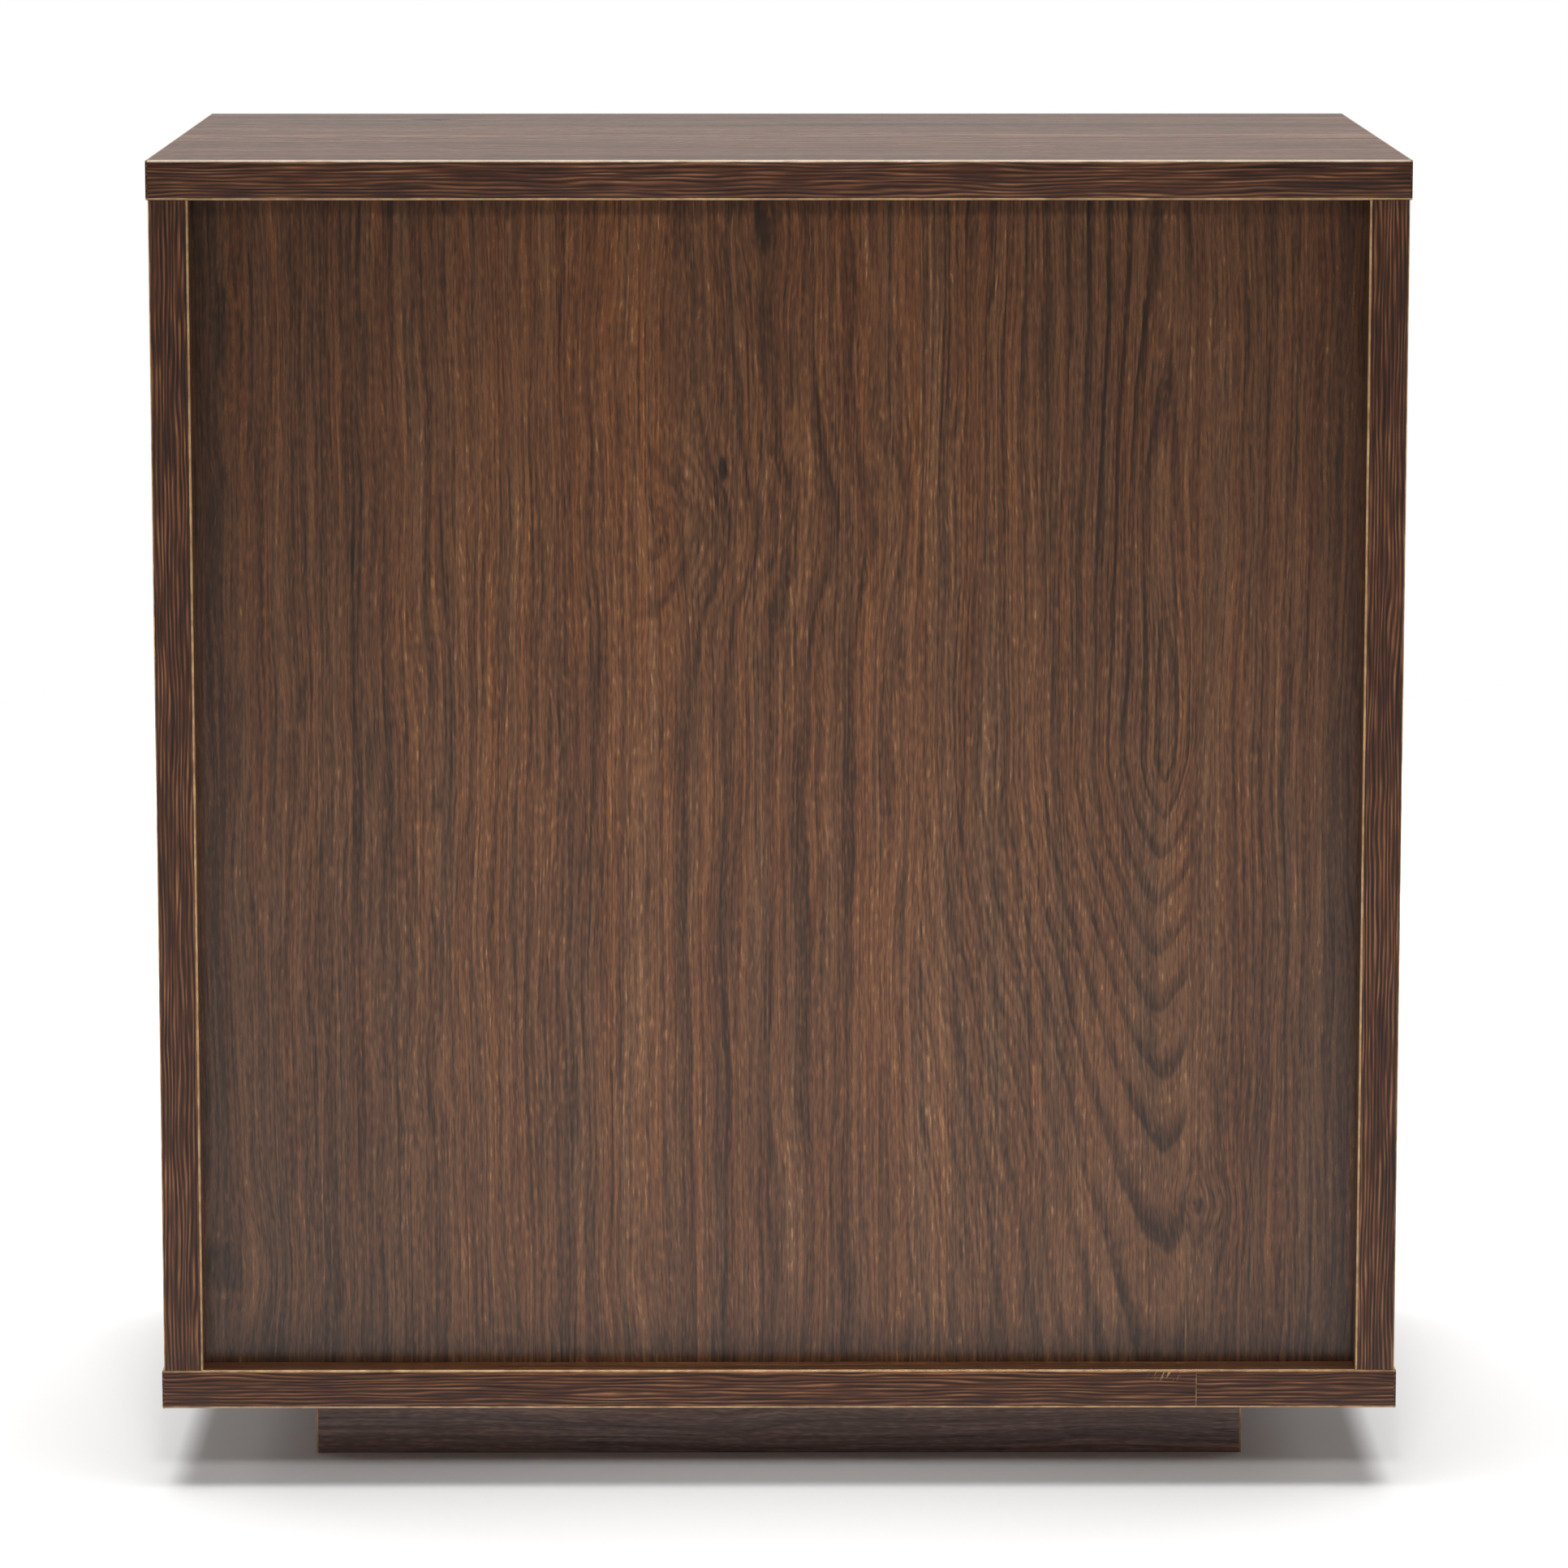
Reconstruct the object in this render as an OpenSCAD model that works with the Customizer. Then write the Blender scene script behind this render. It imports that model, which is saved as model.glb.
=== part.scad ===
// Cube storage unit: a laminated board carcass on an inset plinth, with a
// divider and two shelves that make four open cubes, and a grooved back panel.
// Units are millimetres. The origin is on the floor under the middle of the
// unit. +Z is up, the open front faces -Y, and +X is to the right of someone
// who stands in front of it.

/* [Overall size] */
// Width over the edge bands on the ends of the top board
unit_w = 600; // [560:10:760]
// Depth over the front and back edge bands
unit_d = 395; // [340:5:450]
// Height from the underside of the bottom board to the top
carcass_h = 606; // [560:2:760]
// Thickness of every laminated board
board_t = 19; // [18:1:22]
// Thickness of the plastic edge bands
band_t = 1; // [0.6:0.1:2]
// Bevel along both long edges of every edge band
band_bevel = 0.5; // [0.2:0.1:0.5]

/* [Cubes] */
// How far the divider and the shelves stand back from the front edges
shelf_setback = 2; // [0:1:10]

/* [Back panel] */
// Thickness of the back panel
back_t = 5; // [4:1:8]
// Distance from the back edges to the back panel
back_recess = 17; // [12:1:24]
// Depth of the groove that holds the back panel
groove_depth = 7; // [5:1:9]
// Play between the back panel and each side of its groove
groove_play = 0.2; // [0.1:0.1:0.4]

/* [Plinth] */
// Height of the plinth
plinth_h = 40; // [36:2:80]
// How far the plinth stands in from the edges of the bottom board
plinth_inset = 70; // [50:5:90]

/* [Band splice] */
// Where the two lengths of band on the bottom board's back edge meet
splice_x = -203; // [-250:1:250]

/* [Fittings] */
// Diameter of the cam locks
cam_d = 15; // [14:1:18]
// Distance from a board's end to the centre of its cam locks
cam_reach = 34; // [30:1:38]
// Diameter of the wooden dowels
dowel_d = 8; // [6:1:8]
// Length of the wooden dowels
dowel_l = 30; // [26:2:32]
// Distance from the front edge to the front row of cam bolts
front_row = 47.5; // [40:0.5:60]
// Distance from the back panel to the back row of cam bolts
back_row = 65.5; // [50:0.5:80]
// Distance from a cam bolt to the dowel beside it
dowel_gap = 32; // [24:1:40]

/* [Hidden] */
$fn = 48;
cut = 1; // how far a cutting shape runs past the face that it opens

// Boards
core_w = unit_w - 2 * band_t;
core_d = unit_d - 2 * band_t;
side_in = core_w / 2 - board_t;
side_mid = core_w / 2 - board_t / 2;
z_bottom = plinth_h;
z_floor = plinth_h + board_t;
z_ceiling = plinth_h + carcass_h - board_t;
inner_h = z_ceiling - z_floor;
z_shelf = (z_floor + z_ceiling - board_t) / 2;
back_y = unit_d / 2 - back_recess - back_t;
shelf_front_y = -unit_d / 2 + shelf_setback + band_t;
shelf_back_play = 0.5;
shelf_d = back_y - shelf_back_play - shelf_front_y;
shelf_l = side_in - board_t / 2;
panel_play = 1;
splice_gap = 0.15;

// Plinth
plinth_w = unit_w - 2 * plinth_inset;
plinth_d = unit_d - 2 * plinth_inset;
rail_l = plinth_w - 2 * band_t;
rail_mid_x = rail_l / 2 - board_t / 2;
block_w = 22;
block_h = 16;

// Cam locks and cam bolts
bolt_rows = [-unit_d / 2 + front_row, back_y - back_row];
dowel_rows = [bolt_rows[0] + dowel_gap, bolt_rows[1] - dowel_gap];
bore_play = 0.1;
cam_h = board_t - 5; // leaves a floor under the bore
cam_sunk = 0.3;
cam_bore_h = cam_h + cam_sunk + 0.2;
cam_axis_z = board_t / 2 - cam_sunk;
bolt_hole_d = 8;
thread_d = 6;
thread_l = 10.5;
thread_hole_l = 11;
neck_d = 3.6;
head_d = 6.4;
head_l = 4.4;
shank_l = cam_reach - cam_d / 2 - 0.5;
neck_end = cam_reach - 5.1;

// Dowels
dowel_face_l = 11.5;
dowel_end_l = dowel_l - 10;

// Plinth block screws
screw_d = 3.5;
screw_head_d = 7;
screw_head_h = 2.2;
screw_grip = 13;
screw_up_l = block_h + screw_grip;
screw_side_l = block_w + screw_grip;
screw_offset = 5.5;
screw_z_rail = 4.5;

walnut = "#4d3526";
walnut_edge = "#573c2b";
plinth_walnut = "#3a2d29";
zinc = "silver";
beech = "burlywood";

// ---- Helpers ----

// The part and its mirror image in X
module both_sides() {
    children();
    mirror([1, 0, 0]) children();
}

// The part at the top joint of the carcass, and turned over at the bottom joint
module at_ceiling() translate([0, 0, z_ceiling]) children();
module at_floor() translate([0, 0, z_floor]) mirror([0, 0, 1]) children();

// ---- Cam locks, cam bolts and dowels ----

// Outline of a cam bolt's free end, from its shank to the tip of its head. The joint is
// on z = 0.
bolt_end = [
    [thread_d / 2, shank_l], [neck_d / 2, shank_l], [neck_d / 2, neck_end],
    [head_d / 2, neck_end + 1.4], [head_d / 2, neck_end + head_l - 1],
    [head_d / 2 - 1, neck_end + head_l], [0, neck_end + head_l]
];

// Cam bolt that stands on a board face at z = 0 and reaches up into the next board. Its
// threaded end is below z = 0.
module cam_bolt() {
    collar_r = bolt_hole_d / 2 - 0.25;
    collar_h = 1.5;
    thread_r = thread_d / 2;
    rotate_extrude() polygon(concat(
        [[0, -thread_l], [thread_r - 1, -thread_l], [thread_r, -thread_l + 1.5], [thread_r, 0]],
        [[collar_r, 0], [collar_r, collar_h], [thread_r, collar_h]],
        bolt_end
    ));
}

// Cam bolt with a head at both ends, through an upright that is centred on z = 0
module double_ended_cam_bolt() {
    half = [for (point = bolt_end) point + [0, board_t / 2]];
    other_half = [for (i = [len(half) - 1 : -1 : 0]) [half[i][0], -half[i][1]]];
    rotate_extrude() polygon(concat(half, other_half));
}

// Cam lock, turned until it grips the bolt, which comes in along +Y. The driver face is
// on z = 0 and the body is below it.
module cam_lock() {
    slot_h = neck_d + 0.8;
    cavity_r = 5.6;
    cavity_h = head_d + 0.8;
    off_centre = 0.8; // brings the wall to the bolt's head as the cam turns
    locked_turn = 20; // from the side away from the bolt to the way in
    slot_sweep = 200;
    difference() {
        union() {
            translate([0, 0, -0.6]) cylinder(d1 = cam_d, d2 = cam_d - 1, h = 0.6);
            translate([0, 0, -cam_h]) cylinder(d = cam_d, h = cam_h - 0.6);
        }
        // Cavity for the bolt's head
        translate([0, off_centre, -cam_axis_z - cavity_h / 2]) cylinder(r = cavity_r, h = cavity_h);
        rotate([0, 0, locked_turn]) {
            // Slot for the bolt's neck, and the way in for its head
            translate([0, 0, -cam_axis_z - slot_h / 2]) rotate([0, 0, 90])
                rotate_extrude(angle = slot_sweep) translate([cavity_r - 2, 0]) square([cam_d, slot_h]);
            translate([0, 0, -cam_axis_z]) rotate([-90, 0, 0]) cylinder(d = head_d + 0.6, h = cam_d);
            // Cross recess, and the arrow that points to the way in
            for (turn = [45, 135]) rotate([0, 0, turn])
                translate([-3.4, -0.8, -2.6]) cube([6.8, 1.6, 2.6 + cut]);
            translate([0, 5.3, -0.4]) linear_extrude(1)
                polygon([[-1.3, -0.9], [1.3, -0.9], [0, 1.1]]);
        }
    }
}

// Dowel that crosses a joint at z = 0, with its shorter end below
module dowel() {
    chamfer = 1;
    r = (dowel_d - bore_play) / 2;
    low = dowel_end_l - dowel_l;
    rotate_extrude() polygon([
        [0, low], [r - chamfer, low], [r, low + chamfer],
        [r, dowel_end_l - chamfer], [r - chamfer, dowel_end_l], [0, dowel_end_l]
    ]);
}

// Holes that a joint at z = 0 needs in the board face below it
module bolt_face_hole() {
    translate([0, 0, -thread_hole_l]) cylinder(d = thread_d + bore_play, h = thread_hole_l + cut);
}
module dowel_face_hole() {
    translate([0, 0, -dowel_face_l]) cylinder(d = dowel_d, h = dowel_face_l + cut);
}

// Holes that a joint at z = 0 needs in the end of the board above it
module bolt_end_hole() translate([0, 0, -cut]) cylinder(d = bolt_hole_d, h = cam_reach + cut);
module dowel_end_hole() translate([0, 0, -cut]) cylinder(d = dowel_d, h = dowel_end_l + cut + 0.5);

// Bore for a cam lock, down from a board face at z = 0
module cam_bore() translate([0, 0, -cam_bore_h])
    cylinder(d = cam_d + bore_play, h = cam_bore_h + cut);

// ---- Where the fittings go ----

// On the joint between an upright at x and a flat board. +Z runs from the flat
// board into the upright.
module at_upright_bolts(x) for (y = bolt_rows) translate([x, y, 0]) mirror([0, 0, 1]) children();
module at_upright_dowels(x) for (y = dowel_rows) translate([x, y, 0]) mirror([0, 0, 1]) children();

// On the cam locks of an upright whose cams open on its face at x, looking along dir
module at_upright_cams(x, dir) for (y = bolt_rows) {
    translate([x, y, z_ceiling - cam_reach]) rotate([-90, 0, 0]) rotate([0, dir * 90, 0]) children();
    translate([x, y, z_floor + cam_reach]) rotate([90, 0, 0]) rotate([0, dir * 90, 0]) children();
}

// On the joint between the right side panel and the right shelf. +Z runs into the shelf.
module at_side_shelf_joint(rows) for (y = rows)
    translate([side_in, y, z_shelf + board_t / 2]) rotate([0, -90, 0]) children();

// On the joint between the divider and the right shelf. +Z runs into the shelf.
module at_divider_shelf_joint() for (y = bolt_rows)
    translate([board_t / 2, y, z_shelf + board_t / 2]) rotate([0, 90, 0]) children();

// On the cam locks in the underside of the right shelf, with the bolts along +Y
module at_shelf_cams() for (y = bolt_rows) {
    translate([side_in - cam_reach, y, z_shelf]) rotate([180, 0, 0]) rotate([0, 0, 90]) children();
    translate([board_t / 2 + cam_reach, y, z_shelf]) rotate([180, 0, 0]) rotate([0, 0, -90]) children();
}

shelf_dowel_rows = [(bolt_rows[0] + bolt_rows[1]) / 2];

// ---- Boards ----

// A top or bottom board, with its inner face on z = 0 and its body above
module flat_board() {
    groove_w = back_t + 2 * groove_play;
    difference() {
        translate([-core_w / 2, -core_d / 2, 0]) cube([core_w, core_d, board_t]);
        translate([-side_in - groove_depth, back_y - groove_play, -cut])
            cube([2 * (side_in + groove_depth), groove_w, groove_depth + cut]);
        for (x = [-side_mid, 0, side_mid]) {
            at_upright_bolts(x) bolt_face_hole();
            at_upright_dowels(x) dowel_face_hole();
        }
    }
}

module top_panel() color(walnut) at_ceiling() flat_board();

module bottom_panel() color(walnut) difference() {
    at_floor() flat_board();
    at_block_screws_up() cylinder(d = screw_d + bore_play, h = screw_up_l + 0.5);
}

module side_panel() color(walnut) difference() {
    translate([side_in, -core_d / 2, z_floor]) cube([board_t, core_d, inner_h]);
    translate([side_in - cut, back_y - groove_play, z_floor - cut])
        cube([groove_depth + cut, back_t + 2 * groove_play, inner_h + 2 * cut]);
    at_ceiling() upright_end_holes(side_mid);
    at_floor() upright_end_holes(side_mid);
    at_upright_cams(side_in, -1) cam_bore();
    at_side_shelf_joint(bolt_rows) bolt_face_hole();
    at_side_shelf_joint(shelf_dowel_rows) dowel_face_hole();
}

// Bolt and dowel holes in one end of an upright that is centred on x
module upright_end_holes(x) {
    at_upright_bolts(x) bolt_end_hole();
    at_upright_dowels(x) dowel_end_hole();
}

module centre_divider() color(walnut) difference() {
    translate([-board_t / 2, shelf_front_y, z_floor]) cube([board_t, shelf_d, inner_h]);
    at_ceiling() upright_end_holes(0);
    at_floor() upright_end_holes(0);
    at_upright_cams(-board_t / 2, -1) cam_bore();
    at_divider_shelf_joint() translate([0, 0, -board_t - cut])
        cylinder(d = bolt_hole_d, h = board_t + 2 * cut);
}

// The right shelf
module shelf() color(walnut) difference() {
    translate([board_t / 2, shelf_front_y, z_shelf]) cube([shelf_l, shelf_d, board_t]);
    at_side_shelf_joint(bolt_rows) bolt_end_hole();
    at_side_shelf_joint(shelf_dowel_rows) dowel_end_hole();
    at_divider_shelf_joint() bolt_end_hole();
    at_shelf_cams() cam_bore();
}

module back_panel() color(walnut) {
    tongue = groove_depth - panel_play;
    translate([-side_in - tongue, back_y, z_floor - tongue])
        cube([2 * (side_in + tongue), back_t, inner_h + 2 * tongue]);
}

// ---- Edge bands ----

// Cross-section of a band over a board edge of width w. The board's edge is on y = 0 and
// the band's face looks along +Y.
module band_profile(w) polygon([
    [0, 0], [w, 0], [w, band_t - band_bevel],
    [w - band_bevel, band_t], [band_bevel, band_t], [0, band_t - band_bevel]
]);

// An upright band from x, over the edge of an upright that faces +Y at y
module upright_band(x, y) color(walnut_edge)
    translate([x, y, z_floor]) linear_extrude(inner_h) band_profile(board_t);

// A level band from x0 to x1, over the edge of a board at z that faces +Y at y
module level_band(x0, x1, y, z) color(walnut_edge)
    translate([x0, y, z + board_t]) rotate([0, 90, 0]) linear_extrude(x1 - x0) band_profile(board_t);

// The band over the +X end of the top or bottom board at z
module end_band(z) color(walnut_edge) translate([core_w / 2, -unit_d / 2, z])
    rotate([0, -90, -90]) linear_extrude(unit_d) band_profile(board_t);

module full_width_band(z) level_band(-core_w / 2, core_w / 2, core_d / 2, z);
module back_band_long()
    level_band(splice_x + splice_gap / 2, core_w / 2, core_d / 2, z_bottom);
module back_band_short()
    level_band(-core_w / 2, splice_x - splice_gap / 2, core_d / 2, z_bottom);
module side_band() upright_band(side_in, core_d / 2);
module divider_band() upright_band(-board_t / 2, -shelf_front_y);
module shelf_band() level_band(board_t / 2, side_in, -shelf_front_y, z_shelf);

// ---- Plinth ----

// The rail that faces +Y
module long_rail() color(plinth_walnut) difference() {
    translate([-rail_l / 2, plinth_d / 2 - board_t, 0]) cube([rail_l, board_t, plinth_h]);
    both_sides() {
        at_plinth_dowel() dowel_face_hole();
        at_block_screw_y() cylinder(d = screw_d + bore_play, h = screw_side_l + 0.5);
    }
}

// The rail that faces +X
module short_rail() color(plinth_walnut) difference() {
    translate([rail_l / 2 - board_t, -plinth_d / 2 + board_t, 0])
        cube([board_t, plinth_d - 2 * board_t, plinth_h]);
    both_ends() {
        at_plinth_dowel() dowel_end_hole();
        at_block_screw_x() cylinder(d = screw_d + bore_play, h = screw_side_l + 0.5);
    }
}

// The part and its mirror image in Y
module both_ends() {
    children();
    mirror([0, 1, 0]) children();
}

// On the joint of the back rail and the right rail. +Z runs into the right rail.
module at_plinth_dowel()
    translate([rail_mid_x, plinth_d / 2 - board_t, plinth_h / 2]) rotate([90, 0, 0]) children();

// The inner corner of the plinth under the bottom board, in the +X +Y quarter
module at_plinth_corner() translate([rail_l / 2 - board_t, plinth_d / 2 - board_t, plinth_h]) children();

// Where each screw of a corner block has its head. +Z runs along the screw.
module at_block_screw_up() at_plinth_corner()
    translate([-block_w / 2, -block_w / 2, -block_h]) children();
module at_block_screw_y() at_plinth_corner()
    translate([-screw_offset, -block_w, -screw_z_rail]) rotate([-90, 0, 0]) children();
module at_block_screw_x() at_plinth_corner()
    translate([-block_w, -screw_offset, screw_z_rail - block_h]) rotate([0, 90, 0]) children();
module at_block_screws_up() both_sides() both_ends() at_block_screw_up() children();

module corner_block() color("#2b2320") difference() {
    at_plinth_corner() translate([-block_w, -block_w, -block_h]) linear_extrude(block_h)
        polygon([[0, 6], [6, 0], [block_w, 0], [block_w, block_w], [0, block_w]]);
    at_block_screw_up() screw_clearance(block_h);
    at_block_screw_y() screw_clearance(block_w);
    at_block_screw_x() screw_clearance(block_w);
}

// Countersunk hole through a corner block, for a screw with its head on z = 0
module screw_clearance(through) {
    translate([0, 0, -cut]) cylinder(d = screw_d + 2 * bore_play, h = through + 2 * cut);
    translate([0, 0, -0.01])
        cylinder(d1 = screw_head_d + 0.4, d2 = screw_d + 0.2, h = screw_head_h + 0.2);
}

// Countersunk screw of length l with its head on z = 0
module screw(l) difference() {
    head_z = 0.1;
    r = screw_d / 2;
    rotate_extrude() polygon([
        [0, head_z], [screw_head_d / 2, head_z], [r, head_z + screw_head_h],
        [r, l - 3], [0.3, l], [0, l]
    ]);
    for (turn = [0, 90]) rotate([0, 0, turn]) translate([-2, -0.5, -1]) cube([4, 1, 2.6]);
}

module plinth_rail_end_bands() both_sides() both_ends() color(plinth_walnut)
    translate([rail_l / 2, plinth_d / 2, 0])
        rotate([0, 0, -90]) linear_extrude(plinth_h) band_profile(board_t);

// ---- Groups of identical fasteners ----

module side_cam_locks() color(zinc) at_upright_cams(side_in, -1) translate([0, 0, -cam_sunk]) cam_lock();
module divider_cam_locks() color(zinc)
    at_upright_cams(-board_t / 2, -1) translate([0, 0, -cam_sunk]) cam_lock();
module shelf_cam_locks() color(zinc) at_shelf_cams() translate([0, 0, -cam_sunk]) cam_lock();

module upright_bolts() color(zinc) for (x = [-side_mid, 0, side_mid]) at_upright_bolts(x) cam_bolt();
module upright_dowels() color(beech) for (x = [-side_mid, 0, side_mid]) at_upright_dowels(x) dowel();
module side_cam_bolts() color(zinc) both_sides() at_side_shelf_joint(bolt_rows) cam_bolt();
module double_ended_cam_bolts() color(zinc) for (y = bolt_rows)
    translate([0, y, z_shelf + board_t / 2]) rotate([0, 90, 0]) double_ended_cam_bolt();
module shelf_dowels() color(beech) both_sides() at_side_shelf_joint(shelf_dowel_rows) dowel();
module plinth_dowels() color(beech) both_sides() both_ends() at_plinth_dowel() dowel();
module plinth_corner_blocks() both_sides() both_ends() corner_block();
module plinth_block_screws() color(zinc) both_sides() both_ends() {
    at_block_screw_up() screw(screw_up_l);
    at_block_screw_y() screw(screw_side_l);
    at_block_screw_x() screw(screw_side_l);
}

// ---- The unit ----

top_panel();
bottom_panel();
mirror([1, 0, 0]) side_panel();  // left_side_panel
side_panel();  // right_side_panel
centre_divider();
mirror([1, 0, 0]) shelf();  // left_shelf
shelf();  // right_shelf
back_panel();
mirror([0, 1, 0]) long_rail();  // plinth_front_rail
long_rail();  // plinth_back_rail
mirror([1, 0, 0]) short_rail();  // plinth_left_rail
short_rail();  // plinth_right_rail
mirror([0, 1, 0]) full_width_band(z_ceiling);  // top_front_edge_band
full_width_band(z_ceiling);  // top_back_edge_band
mirror([1, 0, 0]) end_band(z_ceiling);  // top_left_edge_band
end_band(z_ceiling);  // top_right_edge_band
mirror([0, 1, 0]) full_width_band(z_bottom);  // bottom_front_edge_band
back_band_long();  // bottom_back_edge_band_long
back_band_short();  // bottom_back_edge_band_short
mirror([1, 0, 0]) end_band(z_bottom);  // bottom_left_edge_band
end_band(z_bottom);  // bottom_right_edge_band
mirror([1, 0, 0]) mirror([0, 1, 0]) side_band();  // left_side_front_edge_band
mirror([1, 0, 0]) side_band();  // left_side_back_edge_band
mirror([0, 1, 0]) side_band();  // right_side_front_edge_band
side_band();  // right_side_back_edge_band
mirror([0, 1, 0]) divider_band();  // divider_front_edge_band
mirror([1, 0, 0]) mirror([0, 1, 0]) shelf_band();  // left_shelf_edge_band
mirror([0, 1, 0]) shelf_band();  // right_shelf_edge_band
plinth_rail_end_bands();
mirror([1, 0, 0]) side_cam_locks();  // left_side_cam_locks
side_cam_locks();  // right_side_cam_locks
divider_cam_locks();
mirror([1, 0, 0]) shelf_cam_locks();  // left_shelf_cam_locks
shelf_cam_locks();  // right_shelf_cam_locks
at_ceiling() upright_bolts();  // top_cam_bolts
at_floor() upright_bolts();  // bottom_cam_bolts
side_cam_bolts();
double_ended_cam_bolts();
at_ceiling() upright_dowels();  // top_dowels
at_floor() upright_dowels();  // bottom_dowels
shelf_dowels();
plinth_dowels();
plinth_corner_blocks();
plinth_block_screws();
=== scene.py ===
"""The looks of the cube storage unit: dark walnut laminate boards with trimmed plastic edge
bands, fittings of zinc, steel, beech and plastic, and a pale studio around them.

Lengths are in metres in the row's frame, and in millimetres inside the materials."""

import math

import bmesh
import bpy
from mathutils import Euler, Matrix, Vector


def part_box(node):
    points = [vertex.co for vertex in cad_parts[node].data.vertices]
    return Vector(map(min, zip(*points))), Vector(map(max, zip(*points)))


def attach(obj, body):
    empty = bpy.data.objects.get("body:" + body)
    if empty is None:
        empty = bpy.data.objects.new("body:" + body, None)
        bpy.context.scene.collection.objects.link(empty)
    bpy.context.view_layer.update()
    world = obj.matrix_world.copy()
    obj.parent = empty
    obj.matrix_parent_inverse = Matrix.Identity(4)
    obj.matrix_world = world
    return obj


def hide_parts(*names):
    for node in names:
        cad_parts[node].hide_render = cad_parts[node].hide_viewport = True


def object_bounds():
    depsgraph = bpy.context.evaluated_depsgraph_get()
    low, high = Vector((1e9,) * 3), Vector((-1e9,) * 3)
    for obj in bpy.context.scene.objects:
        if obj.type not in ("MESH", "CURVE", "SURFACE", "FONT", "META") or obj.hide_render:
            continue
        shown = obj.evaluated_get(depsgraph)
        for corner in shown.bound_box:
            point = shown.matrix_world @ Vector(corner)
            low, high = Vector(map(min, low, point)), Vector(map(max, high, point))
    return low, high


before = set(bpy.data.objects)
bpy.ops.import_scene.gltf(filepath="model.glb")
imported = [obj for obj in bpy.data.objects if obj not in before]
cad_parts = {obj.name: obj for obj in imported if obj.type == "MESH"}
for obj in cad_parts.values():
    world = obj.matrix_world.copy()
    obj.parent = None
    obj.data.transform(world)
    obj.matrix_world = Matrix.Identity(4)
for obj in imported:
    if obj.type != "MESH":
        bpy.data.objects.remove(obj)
cad_low, cad_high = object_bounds()
MM = 0.001
AXES = "xyz"


def srgb(red, green, blue):
    """A colour given in 0-255 display values, as the linear colour that a shader takes."""
    def linear(value):
        value /= 255
        return value / 12.92 if value <= 0.04045 else ((value + 0.055) / 1.055) ** 2.4
    return (linear(red), linear(green), linear(blue), 1.0)


# ---- Node trees ----


class Tree:
    """Short names for the nodes of the materials. An input is a socket or a number."""

    def __init__(self, tree):
        self.tree = tree

    def node(self, kind, inputs=(), **settings):
        made = self.tree.nodes.new(kind)
        for name, value in settings.items():
            setattr(made, name, value)
        for key, value in dict(inputs).items():
            self.plug(made.inputs[key], value)
        return made

    def plug(self, socket, value):
        if isinstance(value, bpy.types.NodeSocket):
            self.tree.links.new(value, socket)
        else:
            socket.default_value = value

    def math(self, operation, *values, clamp=False):
        made = self.node("ShaderNodeMath", enumerate(values), operation=operation)
        made.use_clamp = clamp
        return made.outputs[0]

    def vector(self, x, y, z):
        return self.node("ShaderNodeCombineXYZ", {"X": x, "Y": y, "Z": z}).outputs[0]

    def noise(self, vector, detail=2.0, roughness=0.5, distortion=0.0):
        made = self.node(
            "ShaderNodeTexNoise",
            {"Vector": vector, "Scale": 1.0, "Detail": detail, "Roughness": roughness,
             "Distortion": distortion},
        )
        return made.outputs["Fac"]

    def fit(self, value, low, high, to_low=0.0, to_high=1.0, smooth=False):
        """value, stretched so that low..high becomes to_low..to_high, and held there."""
        made = self.node(
            "ShaderNodeMapRange",
            {"Value": value, "From Min": low, "From Max": high, "To Min": to_low,
             "To Max": to_high},
            interpolation_type="SMOOTHSTEP" if smooth else "LINEAR",
        )
        return made.outputs[0]

    def mix(self, factor, a, b, blend="MIX"):
        made = self.node("ShaderNodeMix", data_type="RGBA", blend_type=blend)
        self.plug(made.inputs[0], factor)
        self.plug(made.inputs[6], a)
        self.plug(made.inputs[7], b)
        return made.outputs[2]

    def ramp(self, value, stops):
        made = self.node("ShaderNodeValToRGB", {"Fac": value})
        elements = made.color_ramp.elements
        while len(elements) < len(stops):
            elements.new(1.0)
        for element, (position, colour) in zip(elements, stops):
            element.position = position
            element.color = colour
        return made.outputs["Color"]

    def stepped(self, masks, values):
        """The value of the strip that a point is in. masks[i] is 1 from strip i + 1 on."""
        total = values[0]
        for mask, before, after in zip(masks, values, values[1:]):
            if after != before:
                total = self.math("MULTIPLY_ADD", mask, after - before, total)
        return total


# ---- Walnut decor ----
#
# The laminate is a print of walnut veneers side by side, so one decor serves every board, and
# each board shows its own window of it. U runs across the grain and V along it.

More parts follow.
